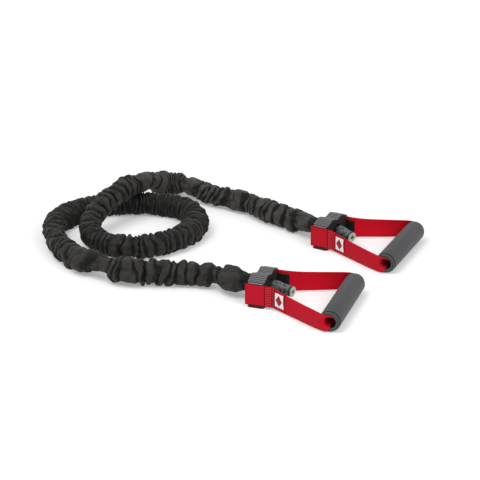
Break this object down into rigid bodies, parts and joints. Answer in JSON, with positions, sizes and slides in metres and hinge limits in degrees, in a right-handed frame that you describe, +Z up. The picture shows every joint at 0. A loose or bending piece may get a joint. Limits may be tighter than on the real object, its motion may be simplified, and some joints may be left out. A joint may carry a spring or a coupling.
{
  "type": "resistance tube",
  "caption": "Rubber exercise tube in a gathered fabric sleeve, with a foam-gripped strap handle at each end.",
  "frame": {"origin": "on the floor, in the middle of the footprint of the two handle ends (all nodes but the sleeve and the tube)", "axes": "+Z up from the floor, +Y to the back of the layout as pictured, +X to its right, towards the handles"},
  "size_m": [0.5901, 0.5764, 0.0716],
  "materials": {
    "rubber": "matt black rubber with faint grey marks",
    "sleeve_fabric": "thin black nylon cloth, gathered",
    "cuff_elastic": "black elastic binding",
    "hub_plastic": "dark grey moulded plastic, satin",
    "screw_steel": "plain steel",
    "sling_webbing": "black woven webbing",
    "strap_webbing": "red woven webbing",
    "label_cloth": "white woven label",
    "plug_plastic": "pale moulded plastic",
    "grip_foam": "dark grey foam rubber",
    "core_plastic": "black moulded plastic",
    "cap_plastic": "dark grey moulded plastic"
  },
  "bodies": {
    "tube_and_hubs": {"front_hub_base": "hub_plastic", "front_hub_cover": "hub_plastic", "front_near_hub_screw": "screw_steel", "front_far_hub_screw": "screw_steel", "front_handle_strap": "strap_webbing", "front_inner_sling": "sling_webbing", "front_strap_label": "label_cloth", "front_sling_eyelet": "core_plastic", "front_sleeve_cuff": "cuff_elastic", "front_tube_collar": "rubber", "front_tube_plug": "plug_plastic", "back_hub_base": "hub_plastic", "back_hub_cover": "hub_plastic", "back_near_hub_screw": "screw_steel", "back_far_hub_screw": "screw_steel", "back_handle_strap": "strap_webbing", "back_inner_sling": "sling_webbing", "back_strap_label": "label_cloth", "back_sling_eyelet": "core_plastic", "back_sleeve_cuff": "cuff_elastic", "back_tube_collar": "rubber", "back_tube_plug": "plug_plastic", "rubber_tube": "rubber", "fabric_sleeve": "sleeve_fabric"},
    "front_grip": {"front_grip_foam": "grip_foam", "front_grip_core": "core_plastic", "front_near_grip_cap": "cap_plastic", "front_far_grip_cap": "cap_plastic"},
    "back_grip": {"back_grip_foam": "grip_foam", "back_grip_core": "core_plastic", "back_near_grip_cap": "cap_plastic", "back_far_grip_cap": "cap_plastic"}
  },
  "joints": [
    {"name": "front_grip_spin", "type": "hinge", "parent": "tube_and_hubs", "child": "front_grip", "pos_m": [-0.00083, -0.11288, 0.0155], "axis": [0.2957, 0.9553, 0], "continuous": true},
    {"name": "back_grip_spin", "type": "hinge", "parent": "tube_and_hubs", "child": "back_grip", "pos_m": [0.09727, 0.09813, 0.0155], "axis": [0.3843, 0.9232, 0], "continuous": true}
  ]
}
